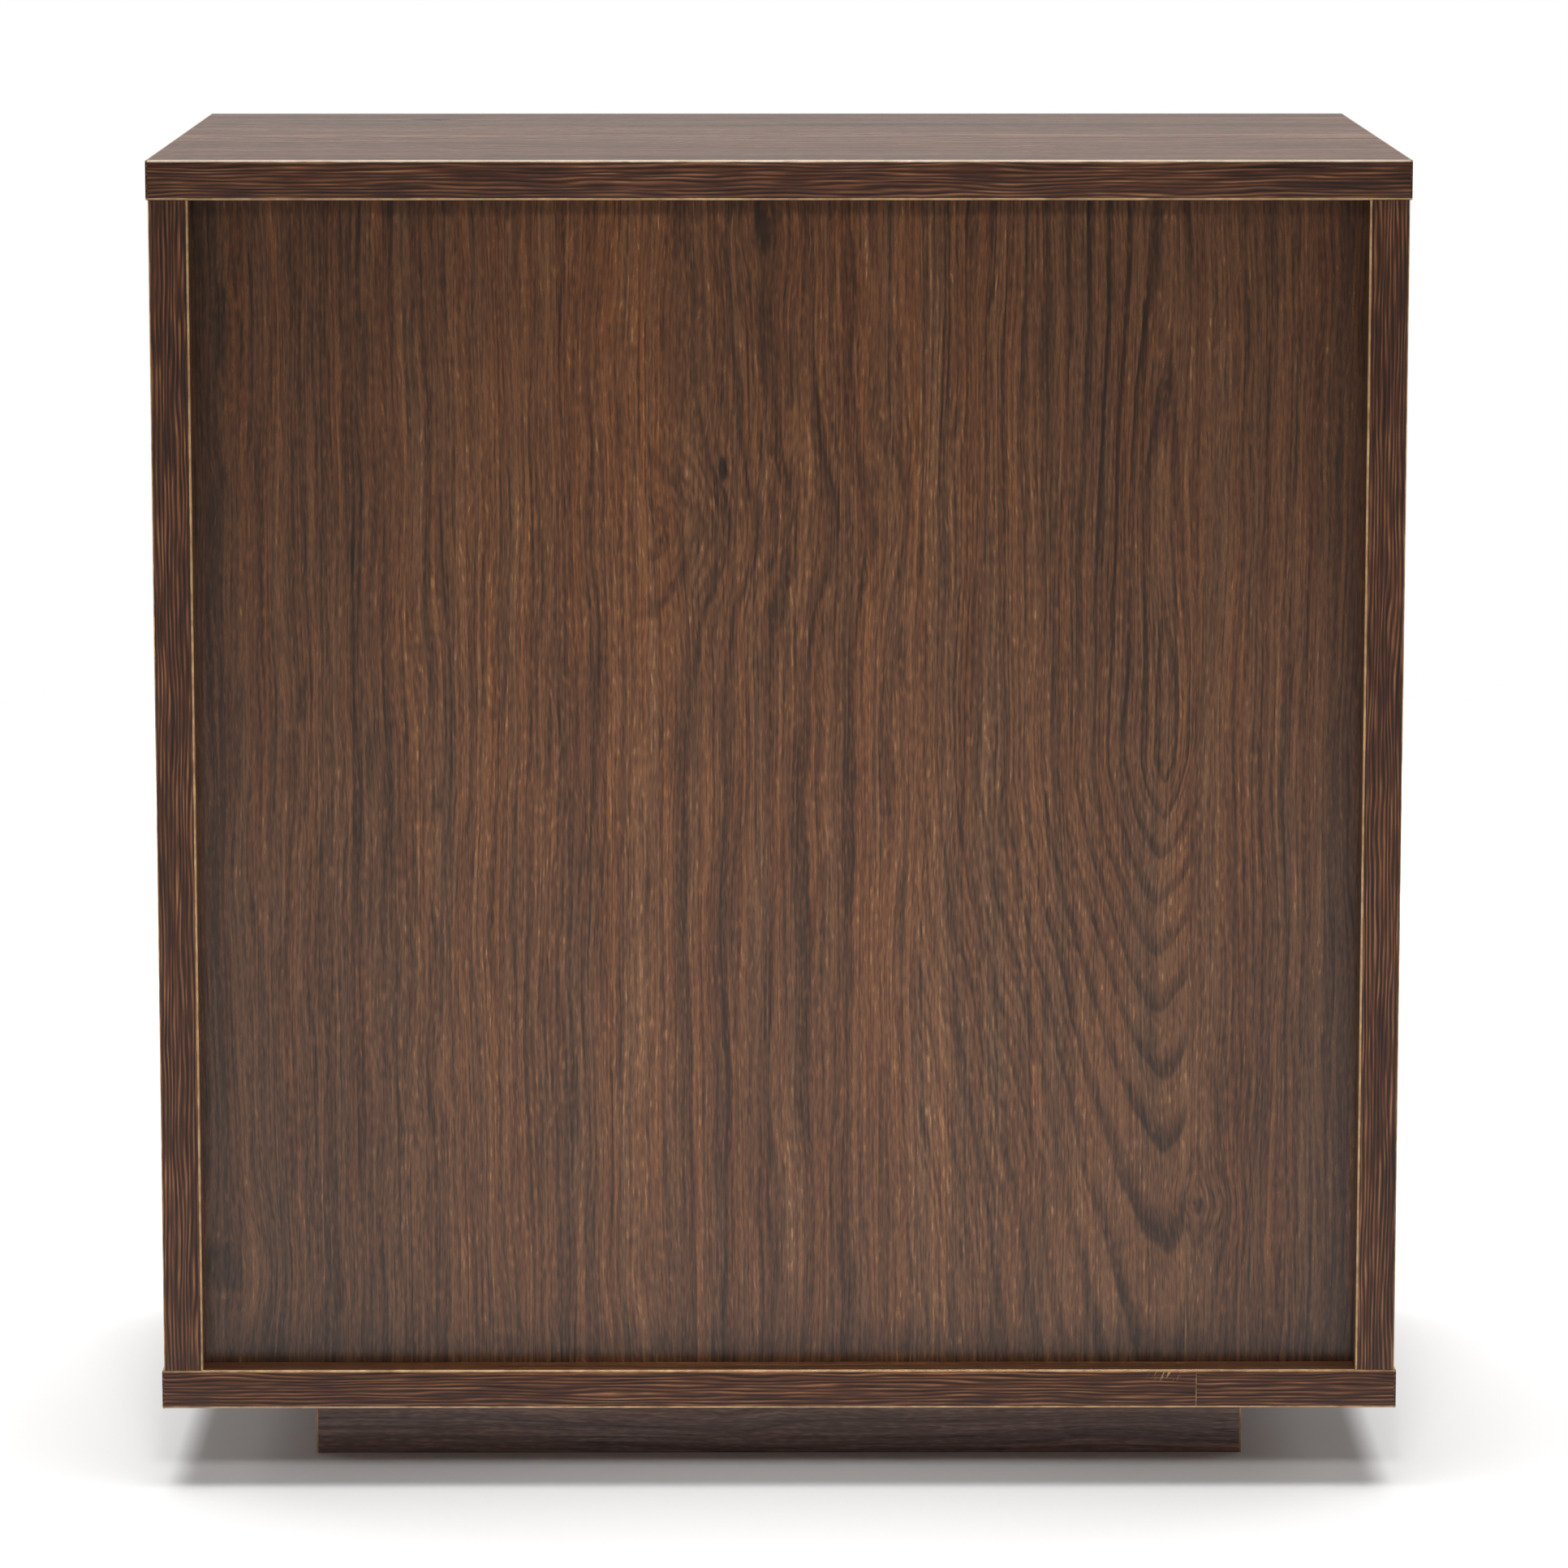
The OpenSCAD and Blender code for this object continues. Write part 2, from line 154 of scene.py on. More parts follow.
# Each veneer strip: the U where it starts, the centre of its rings (U, V), the distance
# between rings to either side of the centre and below and above it, how many rings bend round
# the centre before the grain runs straight, how strong the rings are, how much lighter than
# the others the strip is, and how red.
STRIPS = [
    dict(start=-600, centre=(-700, 0), side=(8, 8), rise=(30, 30), bend=2,
         rings=1.0, light=-0.02, red=0.5),
    dict(start=-430, centre=(-416, 150), side=(7, 9), rise=(60, 27), bend=7,
         rings=0.9, light=0.0, red=0.6),
    dict(start=-310, centre=(-205, 138), side=(7, 7), rise=(22, 30), bend=2,
         rings=0.6, light=-0.01, red=0.6),
    dict(start=-198, centre=(-187, 358), side=(5.5, 5.5), rise=(14, 90), bend=17,
         rings=1.35, light=0.015, red=0.5),
    dict(start=-67, centre=(62, 469), side=(11, 8), rise=(15, 15), bend=2.8,
         rings=0.8, light=0.0, red=0.65),
    dict(start=63, centre=(-40, 300), side=(8, 8), rise=(30, 30), bend=2,
         rings=0.9, light=0.03, red=0.75),
    dict(start=155, centre=(40, 300), side=(9, 9), rise=(30, 30), bend=2,
         rings=0.9, light=-0.03, red=0.5),
    dict(start=300, centre=(410, 420), side=(9, 7), rise=(28, 90), bend=8,
         rings=0.85, light=0.01, red=0.55),
    dict(start=424, centre=(300, 0), side=(8, 8), rise=(30, 30), bend=2,
         rings=0.8, light=0.02, red=0.6),
]
# Each knot: its U and V, its half width and half height, and how dark it is
KNOTS = [
    (8, 611, 5, 9, 0.35), (27, 497, 1.8, 5.5, 0.9), (-204, 137, 4, 4, 0.3),
    (273, 107, 9, 11, 0.35), (-560, 210, 6, 10, 0.6),
]
RING_POINT = 1.55   # 2 makes ellipses, less makes ovals with pointed ends
RING_SPREAD = 0.85  # 1 keeps the rings evenly apart, less spreads the outer ones


class Print(Tree):
    """A node group that prints a grain, from a place across it (U), along it (V) and through it."""

    def __init__(self, name, more_inputs=()):
        group = bpy.data.node_groups.new(name, "ShaderNodeTree")
        for label in ("U", "V", "Depth", *more_inputs):
            group.interface.new_socket(label, in_out="INPUT", socket_type="NodeSocketFloat")
        group.interface.new_socket("Color", in_out="OUTPUT", socket_type="NodeSocketColor")
        for label in ("Light", "Height"):
            group.interface.new_socket(label, in_out="OUTPUT", socket_type="NodeSocketFloat")
        super().__init__(group)
        self.given = self.node("NodeGroupInput").outputs
        self.u, self.v, self.depth = (self.given[label] for label in ("U", "V", "Depth"))

    def grain(self, u, v, across, along, seed, **kind):
        """Noise in threads that are about across wide and along long."""
        x = self.math("MULTIPLY", u, 1 / across)
        y = self.math("MULTIPLY_ADD", self.depth, 1 / across, seed)
        return self.noise(self.vector(x, y, self.math("MULTIPLY", v, 1 / along)), **kind)

    def swing(self, value, amount):
        """A noise as an offset to both sides of 0."""
        return self.math("MULTIPLY", self.math("SUBTRACT", value, 0.5), amount)

    def stripes(self, phase, sharpness=0.35):
        """Lines a phase of 1 apart: 1 on a line, falling to 0 between them."""
        wave = self.math("PINGPONG", phase, 0.5)
        return self.fit(wave, sharpness, 0.5, smooth=True)

    def finish(self, colour, light, height):
        outputs = self.node("NodeGroupOutput").inputs
        for label, value in (("Color", colour), ("Light", light), ("Height", height)):
            self.plug(outputs[label], value)
        return self.tree


def board_print():
    t = Print("walnut_board_print", ["Contrast"])
    u, v = t.u, t.v

    # Slow waves that the whole grain follows, and bulges around the knots
    bent = t.math("ADD", u, t.swing(t.grain(u, v, 70, 260, 3.1, detail=2.0), 16.0))
    bent = t.math("ADD", bent, t.swing(t.grain(u, v, 28, 120, 8.4, detail=1.0), 6.0))
    knot_dark = 0.0
    for knot_u, knot_v, half_u, half_v, dark in KNOTS:
        du = t.math("SUBTRACT", u, float(knot_u))
        dv = t.math("SUBTRACT", v, float(knot_v))
        near = t.math("ADD", t.math("POWER", t.math("DIVIDE", du, half_u * 3.0), 2.0),
                      t.math("POWER", t.math("DIVIDE", dv, half_v * 3.0), 2.0))
        near = t.math("EXPONENT", t.math("MULTIPLY", near, -1.0))
        bent = t.math("SUBTRACT", bent, t.math("MULTIPLY", t.math("MULTIPLY", near, 0.5), du))
        core = t.fit(near, 0.80, 0.97, smooth=True)
        knot_dark = t.math("MULTIPLY_ADD", core, dark, knot_dark)

    # Which strip the point is in
    masks = [t.math("GREATER_THAN", u, float(strip["start"])) for strip in STRIPS[1:]]

    def by_strip(pick):
        return t.stepped(masks, [float(pick(strip)) for strip in STRIPS])

    # Rings: ovals around the strip's centre, which straighten out further along it
    du = t.math("SUBTRACT", bent, by_strip(lambda s: s["centre"][0]))
    dv = t.math("SUBTRACT", v, by_strip(lambda s: s["centre"][1]))
    plus_u = t.math("GREATER_THAN", du, 0.0)
    plus_v = t.math("GREATER_THAN", dv, 0.0)

    def two_sided(plus, key):
        low, high = by_strip(lambda s: s[key][0]), by_strip(lambda s: s[key][1])
        return t.math("MULTIPLY_ADD", plus, t.math("SUBTRACT", high, low), low)

    across = t.math("DIVIDE", du, two_sided(plus_u, "side"))
    along = t.math("DIVIDE", dv, two_sided(plus_v, "rise"))
    bend = by_strip(lambda s: s["bend"])
    along = t.math("MULTIPLY", t.math("TANH", t.math("DIVIDE", along, bend)), bend)
    sideways = t.math("POWER", t.math("ABSOLUTE", across), RING_POINT)
    lengthways = t.math("POWER", t.math("ABSOLUTE", along), RING_POINT)
    both = t.math("ADD", t.math("ADD", sideways, lengthways), 0.001)
    rings = t.math("POWER", both, RING_SPREAD / RING_POINT)
    rings = t.math("ADD", rings, t.swing(t.grain(u, v, 24, 60, 5.7, detail=1.0), 0.5))
    rings = t.math("ADD", rings, t.swing(t.grain(u, v, 6, 30, 5.7, detail=1.0), 0.14))

    # Late wood: each ring darkens outwards and ends sharply, and the far rings are fainter
    saw = t.math("FRACT", rings)
    late = t.math("MULTIPLY", t.fit(saw, 0.50, 0.86, smooth=True), t.fit(saw, 1.0, 0.92))
    patchy = t.fit(t.grain(u, v, 60, 120, 1.3, detail=1.0), 0.3, 0.7, 0.5, 1.0)
    late = t.math("MULTIPLY", t.math("MULTIPLY", late, patchy), by_strip(lambda s: s["rings"]))
    late = t.math("MULTIPLY", late, t.fit(sideways, 16.0, 50.0, 1.0, 0.5))

    # Threads along the grain, from broad bands down to single fibres, pores and flecks, which
    # start at another place in each strip
    flow = t.math("ADD", v, by_strip(lambda s: 37.0 * s["start"]))
    band = t.grain(bent, flow, 34, 900, 2.2, detail=1.0, roughness=0.55)
    thread = t.grain(bent, flow, 19, 170, 6.6, detail=3.0, roughness=1.0)
    pin = t.grain(bent, flow, 3.0, 260, 4.1, detail=0.0)
    hair = t.grain(bent, flow, 1.3, 150, 9.3, detail=1.0, roughness=0.9)
    speck = t.grain(bent, flow, 0.9, 5.5, 21.4, detail=0.0)
    pore = t.fit(t.grain(bent, flow, 0.95, 20, 7.7, detail=0.0), 0.54, 0.70)
    fleck = t.fit(t.grain(bent, flow, 0.85, 7, 0.4, detail=0.0), 0.62, 0.76)

    # Fine lines that follow the rings beside their centre, and fade where the rings turn
    phase = t.math("ADD", t.math("MULTIPLY", rings, 3.3),
                   t.swing(t.grain(u, v, 7, 190, 15.5, detail=1.0), 2.2))
    fading = t.fit(t.grain(bent, flow, 4.0, 130, 18.6, detail=1.0), 0.36, 0.62, 0.45, 1.0)
    turned = t.fit(t.math("DIVIDE", lengthways, both), 0.45, 0.85, 1.0, 0.0)
    stripe = t.math("MULTIPLY", t.math("MULTIPLY", t.stripes(phase, 0.12), fading), turned)

    parts = t.math("ADD", t.swing(band, 0.26), t.swing(thread, 0.18))
    parts = t.math("ADD", parts, t.swing(pin, 0.22))
    parts = t.math("ADD", parts, t.swing(hair, 0.5))
    parts = t.math("ADD", parts, t.swing(speck, 0.34))
    for part, amount in ((late, -0.21), (stripe, -0.15), (pore, -0.10), (fleck, 0.15)):
        parts = t.math("MULTIPLY_ADD", part, amount, parts)
    light = by_strip(lambda s: 0.58 + s["light"])
    light = t.math("MULTIPLY_ADD", parts, t.given["Contrast"], light)
    light = t.math("MULTIPLY_ADD", knot_dark, -0.4, light, clamp=True)

    warm = t.ramp(light, [
        (0.0, srgb(26, 15, 9)), (0.28, srgb(56, 33, 19)), (0.5, srgb(88, 53, 33)),
        (0.72, srgb(119, 76, 46)), (1.0, srgb(166, 120, 77)),
    ])
    cool = t.ramp(light, [
        (0.0, srgb(25, 16, 10)), (0.28, srgb(51, 34, 23)), (0.5, srgb(80, 54, 37)),
        (0.72, srgb(110, 77, 53)), (1.0, srgb(161, 123, 87)),
    ])
    hue = t.grain(bent, flow, 12, 300, 12.9, detail=2.0, roughness=0.7)
    redness = t.math("ADD", by_strip(lambda s: s["red"] - 0.12), t.swing(hue, 2.6), clamp=True)
    height = t.math("SUBTRACT", t.math("MULTIPLY", hair, 0.6), pore)
    return t.finish(t.mix(redness, cool, warm), light, height)


def edge_print():
    """The coarser grain that is printed and embossed on the plastic edge band."""
    t = Print("walnut_edge_print")
    u, v = t.u, t.v
    bent = t.math("ADD", u, t.swing(t.grain(u, v, 5, 40, 3.3, detail=2.0), 1.6))
    bent = t.math("ADD", bent, t.swing(t.grain(u, v, 25, 160, 1.7, detail=1.0), 4.0))
    tone = t.grain(bent, v, 6, 50, 2.9, detail=1.0, roughness=0.8)
    fibre = t.grain(bent, v, 0.9, 26, 6.1, detail=1.0, roughness=0.7)
    phase = t.math("ADD", t.math("DIVIDE", bent, 1.9),
                   t.swing(t.grain(u, v, 7, 60, 5.9, detail=1.0), 2.4))
    patch = t.fit(t.grain(u, v, 4, 24, 8.8, detail=1.0), 0.34, 0.58)
    tan = t.math("MULTIPLY", t.stripes(phase, 0.15), patch)
    dark = t.stripes(t.math("ADD", phase, 0.5), 0.2)
    parts = t.math("ADD", t.swing(tone, 0.28), t.swing(fibre, 0.8))
    parts = t.math("MULTIPLY_ADD", tan, 0.32, parts)
    light = t.math("ADD", t.math("MULTIPLY_ADD", dark, -0.22, parts), 0.40, clamp=True)
    colour = t.ramp(light, [
        (0.0, srgb(26, 12, 8)), (0.3, srgb(58, 33, 21)), (0.5, srgb(84, 50, 32)),
        (0.72, srgb(118, 77, 50)), (1.0, srgb(160, 116, 80)),
    ])
    height = t.math("SUBTRACT", light, dark)
    return t.finish(colour, light, height)


BOARD_PRINT, EDGE_PRINT = board_print(), edge_print()


# ---- Materials ----


def new_material(name):
    material = bpy.data.materials.new(name)
    material.use_nodes = True
    t = Tree(material.node_tree)
    shader = material.node_tree.nodes["Principled BSDF"]
    place = t.node("ShaderNodeTexCoord").outputs["Object"]
    place = t.node("ShaderNodeVectorMath", {0: place, "Scale": 1000.0}, operation="SCALE")
    split = t.node("ShaderNodeSeparateXYZ", {0: place.outputs[0]}).outputs
    return material, t, shader, {axis: split[i] for i, axis in enumerate(AXES)}


def stretched(t, at, *scale):
    """The place in mm, multiplied by a number along each axis."""
    return t.vector(*(t.math("MULTIPLY", at[axis], size) for axis, size in zip(AXES, scale)))


def bump(t, shader, height, strength, distance):
    made = t.node("ShaderNodeBump", {"Height": height, "Strength": strength, "Distance": distance})
    t.plug(shader.inputs["Normal"], made.outputs["Normal"])


def printed(t, group, at, along, across, shift=(0.0, 0.0)):
    (depth,) = set(AXES) - {along, across}
    grain = t.node("ShaderNodeGroup", node_tree=group)
    t.plug(grain.inputs["U"], t.math("ADD", at[across], float(shift[0])))
    t.plug(grain.inputs["V"], t.math("ADD", at[along], float(shift[1])))
    t.plug(grain.inputs["Depth"], at[depth])
    return grain


def laminate(name, along, across, shift=(0.0, 0.0), contrast=1.0, tint=None, gloss=0.48,
             frame_in=None):
    """Board laminate with its grain along one axis. shift picks the board's window of the
    decor, tint is a colour that the decor is multiplied by, and gloss is how strongly the
    surface mirrors. frame_in is the half width and the foot, in mm, of the
    boards that stand round the face: near them the decor is painted darker, as painted
    shade for the shadow that these boards cast on it."""
    material, t, shader, at = new_material(name)
    grain = printed(t, BOARD_PRINT, at, along, across, shift)
    grain.inputs["Contrast"].default_value = contrast
    colour = grain.outputs["Color"]
    if tint:
        colour = t.mix(1.0, colour, tint, "MULTIPLY")
    # Painted shade: within 30 mm of the side boards and the bottom board, the decor is mixed
    # towards near black, for the shadow that these boards cast in the recess.
    if frame_in:
        clear = t.math("MINIMUM", t.math("SUBTRACT", frame_in[0], t.math("ABSOLUTE", at[across])),
                       t.math("SUBTRACT", at[along], frame_in[1]))
        colour = t.mix(t.fit(clear, 0.0, 30.0, 0.35, 0.0, smooth=True), colour, srgb(12, 8, 6))
    t.plug(shader.inputs["Base Color"], colour)
    t.plug(shader.inputs["Roughness"], t.fit(grain.outputs["Light"], 0.2, 0.8, 0.33, 0.26))
    bump(t, shader, grain.outputs["Height"], 0.25, 0.0001)
    shader.inputs["Specular IOR Level"].default_value = gloss
    return material


HIDDEN_RIM = 0.45  # mm of tan that a band at the unit's side doesn't show on its outer edge


def edging(name, low, high, tint=None, splice=None, worn_top=False, mirrored=False):
    """Printed edge band: where it is trimmed, its plain tan plastic shows. low and high are the
    corners of the band, and splice is the place along it of an end that meets another length.
    worn_top paints the upper edge pale cream, a painted highlight for the glint
    of the light from above. mirrored is for bands that lie alike on both sides of 0."""
    size = high - low
    _, across, along = (AXES[i] for i in sorted(range(3), key=lambda i: size[i]))
    material, t, shader, at = new_material(name)
    grain = printed(t, EDGE_PRINT, at, along, across, (7.0 * low.z / MM, 3.0 * low.x / MM))
    colour = grain.outputs["Color"]
    if tint:
        colour = t.mix(1.0, colour, tint, "MULTIPLY")
    start, end = (corner[AXES.index(across)] / MM for corner in (low, high))
    place = at[across]
    if mirrored:
        start, end = sorted((abs(start), abs(end)))
        place = t.math("ABSOLUTE", place)
    if across == "x" and start + end < -100:
        start -= HIDDEN_RIM
    if across == "x" and start + end > 100:
        end += HIDDEN_RIM
    rim = t.math("MINIMUM", t.math("SUBTRACT", place, start), t.math("SUBTRACT", end, place))
    waver = t.noise(stretched(t, at, 0.13, 0.13, 0.13), detail=4.0)
    chips = t.noise(stretched(t, at, 0.4, 0.4, 0.4), detail=1.0)
    chips = t.fit(chips, 0.78, 0.84, 0.0, 0.6)
    reach = t.math("MULTIPLY_ADD", waver, -0.3, rim)
    reach = t.math("SUBTRACT", reach, chips)
    trimmed = t.fit(reach, 0.95, 0.75)
    if splice is not None:
        from_end = t.math("ABSOLUTE", t.math("SUBTRACT", at[along], splice / MM))
        gapped = t.fit(waver, 0.42, 0.56, 0.06, 0.34)
        seam = t.math("MULTIPLY", t.math("LESS_THAN", from_end, gapped), 0.7)
        trimmed = t.math("MAXIMUM", trimmed, seam)
        slant = t.vector(t.math("MULTIPLY_ADD", at[across], 0.55, at[along]),
                         t.math("MULTIPLY", at[across], 0.12), 3.7)
        scratch = t.fit(t.noise(slant, detail=1.0), 0.57, 0.61)
        where = t.math("MULTIPLY", t.fit(from_end, 26.0, 16.0), t.fit(from_end, 4.0, 9.0))
        where = t.math("MULTIPLY", where, t.fit(at[across], end - 6.0, end - 3.0))
        scratch = t.math("MULTIPLY", t.math("MULTIPLY", scratch, where), 0.7)
        trimmed = t.math("MAXIMUM", trimmed, scratch)
    bare_and_glint = t.mix(t.fit(waver, 0.3, 0.7), srgb(150, 112, 76), srgb(196, 160, 116))
    # Painted highlight: the upper rounded edge is painted pale cream, for the glint of the light
    # from above on it.
    if worn_top:
        top = t.fit(at["z"], end - 2.0, end - 1.2)
        bare_and_glint = t.mix(top, bare_and_glint, t.mix(waver, srgb(184, 160, 134), srgb(232, 214, 192)))
    t.plug(shader.inputs["Base Color"], t.mix(trimmed, colour, bare_and_glint))
    rough = t.fit(grain.outputs["Light"], 0.2, 0.8, 0.44, 0.35)
    t.plug(shader.inputs["Roughness"], t.math("MULTIPLY_ADD", trimmed, -0.12, rough))
    bump(t, shader, grain.outputs["Height"], 0.5, 0.00016)
    shader.inputs["Specular IOR Level"].default_value = 0.35
    return material


def chipboard():
    material, t, shader, at = new_material("chipboard")
    place = t.vector(*at.values())
    chips = t.node("ShaderNodeTexVoronoi", {"Vector": place, "Scale": 0.7, "Randomness": 1.0})
    tone = t.node("ShaderNodeSeparateColor", {0: chips.outputs["Color"]}).outputs[0]
    fuzz = t.noise(place, detail=4.0, roughness=0.7)
    tone = t.math("MULTIPLY_ADD", fuzz, 0.6, t.math("MULTIPLY", tone, 0.5), clamp=True)
    colour = t.ramp(tone, [
        (0.1, srgb(120, 86, 54)), (0.5, srgb(178, 140, 96)), (0.9, srgb(214, 184, 140)),
    ])
    t.plug(shader.inputs["Base Color"], colour)
    t.plug(shader.inputs["Roughness"], t.fit(fuzz, 0.3, 0.7, 0.8, 0.95))
    bump(t, shader, t.math("MULTIPLY_ADD", fuzz, 0.5, chips.outputs["Distance"]), 0.6, 0.0003)
    return material


def metal(name, dark, pale, rough, grain_size):
    """Cast or plated metal: mottled colour, a fine grain and duller patches."""
    material, t, shader, at = new_material(name)
    place = t.vector(*at.values())
    fine = t.node("ShaderNodeTexNoise", {"Vector": place, "Scale": 1 / grain_size, "Detail": 4.0})
    cloud = t.node("ShaderNodeTexNoise", {"Vector": place, "Scale": 0.22, "Detail": 3.0})
    tone = t.fit(t.math("MULTIPLY_ADD", fine.outputs["Fac"], 0.4, cloud.outputs["Fac"]), 0.5, 0.95)
    t.plug(shader.inputs["Base Color"], t.mix(tone, dark, pale))
    dull = t.fit(cloud.outputs["Fac"], 0.3, 0.7, rough + 0.12, rough - 0.08)
    t.plug(shader.inputs["Roughness"], dull)
    bump(t, shader, fine.outputs["Fac"], 0.35, 0.00006)
    shader.inputs["Metallic"].default_value = 1.0
    return material


def beech():
    material, t, shader, at = new_material("beech")
    rays = t.noise(stretched(t, at, 0.22, 1.4, 0.5), detail=3.0, roughness=0.6)
    flecks = t.fit(t.noise(t.vector(*at.values()), detail=2.0), 0.6, 0.7)
    tone = t.math("MULTIPLY_ADD", flecks, -0.3, rays, clamp=True)
    t.plug(shader.inputs["Base Color"], t.ramp(tone, [
        (0.2, srgb(158, 112, 70)), (0.5, srgb(204, 162, 112)), (0.8, srgb(226, 192, 146)),
    ]))
    t.plug(shader.inputs["Roughness"], t.fit(rays, 0.3, 0.7, 0.7, 0.55))
    bump(t, shader, rays, 0.4, 0.0001)
    return material


def plastic():
    material, t, shader, at = new_material("brown_plastic")
    place = t.vector(*at.values())
    spark = t.node("ShaderNodeTexNoise", {"Vector": place, "Scale": 2.6, "Detail": 3.0})
    cloud = t.noise(stretched(t, at, 0.06, 0.06, 1))
    t.plug(shader.inputs["Base Color"], t.mix(cloud, srgb(44, 31, 25), srgb(66, 47, 38)))
    t.plug(shader.inputs["Roughness"], t.fit(cloud, 0.3, 0.7, 0.5, 0.38))
    bump(t, shader, spark.outputs["Fac"], 0.3, 0.00005)
    return material


CHIPBOARD = chipboard()
ZINC = metal("zinc_cast", srgb(128, 128, 130), srgb(182, 182, 184), 0.42, 0.35)
STEEL = metal("steel_plated", srgb(150, 148, 142), srgb(206, 204, 198), 0.30, 0.25)
BEECH = beech()
PLASTIC = plastic()


# ---- Boards: laminate on the faces, chipboard where they are cut and drilled ----

# The plinth is greyer and plainer than the boards. The top board's decor is tinted paler on
# both faces: painted light, for the light that falls on the top's upper face.
PLINTH_LOOK = dict(shift=(-240, 110), contrast=0.7, tint=(1.9, 2.75, 5.0, 1.0))
TOP_LOOK_PAINTED_LIGHT = dict(shift=(-420, 30), contrast=1.15, tint=(1.5, 1.42, 1.28, 1.0), gloss=0.2)


def dress_board(name, face, along, across, **finish):
    """Laminate on a CAD board's two faces across one axis, chipboard everywhere else."""
    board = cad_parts[name]
    low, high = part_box(name)
    axis = AXES.index(face)
    board.data.materials.clear()
    board.data.materials.append(laminate(name + "_laminate", along, across, **finish))
    board.data.materials.append(CHIPBOARD)
    for polygon in board.data.polygons:
        place = polygon.center[axis]
        outside = min(abs(place - low[axis]), abs(place - high[axis])) < 1e-5
        flat = abs(polygon.normal[axis]) > 0.99
        polygon.material_index = 0 if outside and flat else 1


# The back panel gets painted shade beside the side boards and above the bottom board.
dress_board("back_panel", "y", "z", "x",
            frame_in=(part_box("right_side_panel")[0].x / MM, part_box("bottom_panel")[1].z / MM))
# The top board's paler tint is painted light, for the light on its upper face.
dress_board("top_panel", "z", "x", "y", **TOP_LOOK_PAINTED_LIGHT)
dress_board("bottom_panel", "z", "x", "y", shift=(330, -40))
dress_board("left_side_panel", "x", "z", "y", shift=(-20, 12))
dress_board("right_side_panel", "x", "z", "y", shift=(-330, -60))
dress_board("centre_divider", "x", "z", "y", shift=(410, 35))
dress_board("left_shelf", "z", "x", "y", shift=(-90, 210))
dress_board("right_shelf", "z", "x", "y", shift=(-90, 210))
for side in ("front", "back"):
    dress_board(f"plinth_{side}_rail", "y", "x", "z", **PLINTH_LOOK)
for side in ("left", "right"):
    dress_board(f"plinth_{side}_rail", "x", "y", "z", **PLINTH_LOOK)

for name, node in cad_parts.items():
    for ending, material in (("_cam_locks", ZINC), ("_cam_bolts", STEEL), ("_screws", STEEL),
                             ("_dowels", BEECH), ("_blocks", PLASTIC)):
        if name.endswith(ending):
            node.data.materials.clear()
            node.data.materials.append(material)


# ---- Edge bands ----


def add_strip(made, low, high, corner=0.7 * MM, steps=4):
    """A strip of edge band in a box: flat where it is glued on, its long outer edges rounded."""
    size = high - low
    thin, across, along = sorted(range(3), key=lambda i: size[i])
    outward = 1 if low[thin] + high[thin] > 0 else -1
    glued, face = (low[thin], high[thin]) if outward > 0 else (high[thin], low[thin])
    corner = min(corner, 0.9 * size[thin])
    outline = [(low[across], glued)]
    for i in range(steps + 1):
        turn = math.radians(90 * i / steps)
        outline.append((low[across] + corner * (1 - math.cos(turn)),
                        face - outward * corner * (1 - math.sin(turn))))
    for i in range(steps + 1):
        turn = math.radians(90 * i / steps)
        outline.append((high[across] - corner * (1 - math.sin(turn)),
                        face - outward * corner * (1 - math.cos(turn))))
    outline.append((high[across], glued))
    rings = []
    for place in (low[along], high[along]):
        ring = []
        for a, o in outline:
            point = Vector((0, 0, 0))
            point[along], point[across], point[thin] = place, a, o
            ring.append(made.verts.new(point))
        rings.append(ring)
    count = len(outline)
    for i in range(count):
        j = (i + 1) % count
        made.faces.new((rings[0][i], rings[0][j], rings[1][j], rings[1][i])).smooth = True
    made.faces.new(rings[0])
    made.faces.new(list(reversed(rings[1])))


def edge_piece(node, boxes=None, slot="walnut_edge_band", **finish):
    """Trimmed edge band in place of a CAD node: one strip in the node's box, or in each box."""
    boxes = boxes or [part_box(node)]
    made = bmesh.new()
    for low, high in boxes:
        add_strip(made, low, high)
    bmesh.ops.recalc_face_normals(made, faces=made.faces)
    mesh = bpy.data.meshes.new(node + "_trimmed")
    made.to_mesh(mesh)
    made.free()
    mesh.set_sharp_from_angle(angle=math.radians(35))
    piece = bpy.data.objects.new(node + "_trimmed", mesh)
    bpy.context.collection.objects.link(piece)
    mesh.materials.append(edging(node + "_print", *boxes[0], **finish))
    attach(piece, "root")
    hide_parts(node)


# The top back band gets a painted highlight along its upper edge.
for name in list(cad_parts):
    if "edge_band" in name and "bottom_back" not in name:
        edge_piece(name, worn_top=name == "top_back_edge_band")
splice = (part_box("bottom_back_edge_band_long")[0].x
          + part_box("bottom_back_edge_band_short")[1].x) / 2
edge_piece("bottom_back_edge_band_long", splice=splice)
edge_piece("bottom_back_edge_band_short")

ends_low, ends_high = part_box("plinth_rail_end_bands")
end_boxes = []
for rail in ("plinth_front_rail", "plinth_back_rail"):
    low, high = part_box(rail)
    end_boxes.append((Vector((ends_low.x, low.y, low.z)), Vector((low.x, high.y, high.z))))
    end_boxes.append((Vector((high.x, low.y, low.z)), Vector((ends_high.x, high.y, high.z))))
edge_piece("plinth_rail_end_bands", end_boxes, "plinth_edge_band", tint=PLINTH_LOOK["tint"],
           mirrored=True)


# ---- Fittings: the threads, flutes and driver recesses that the CAD keeps plain ----


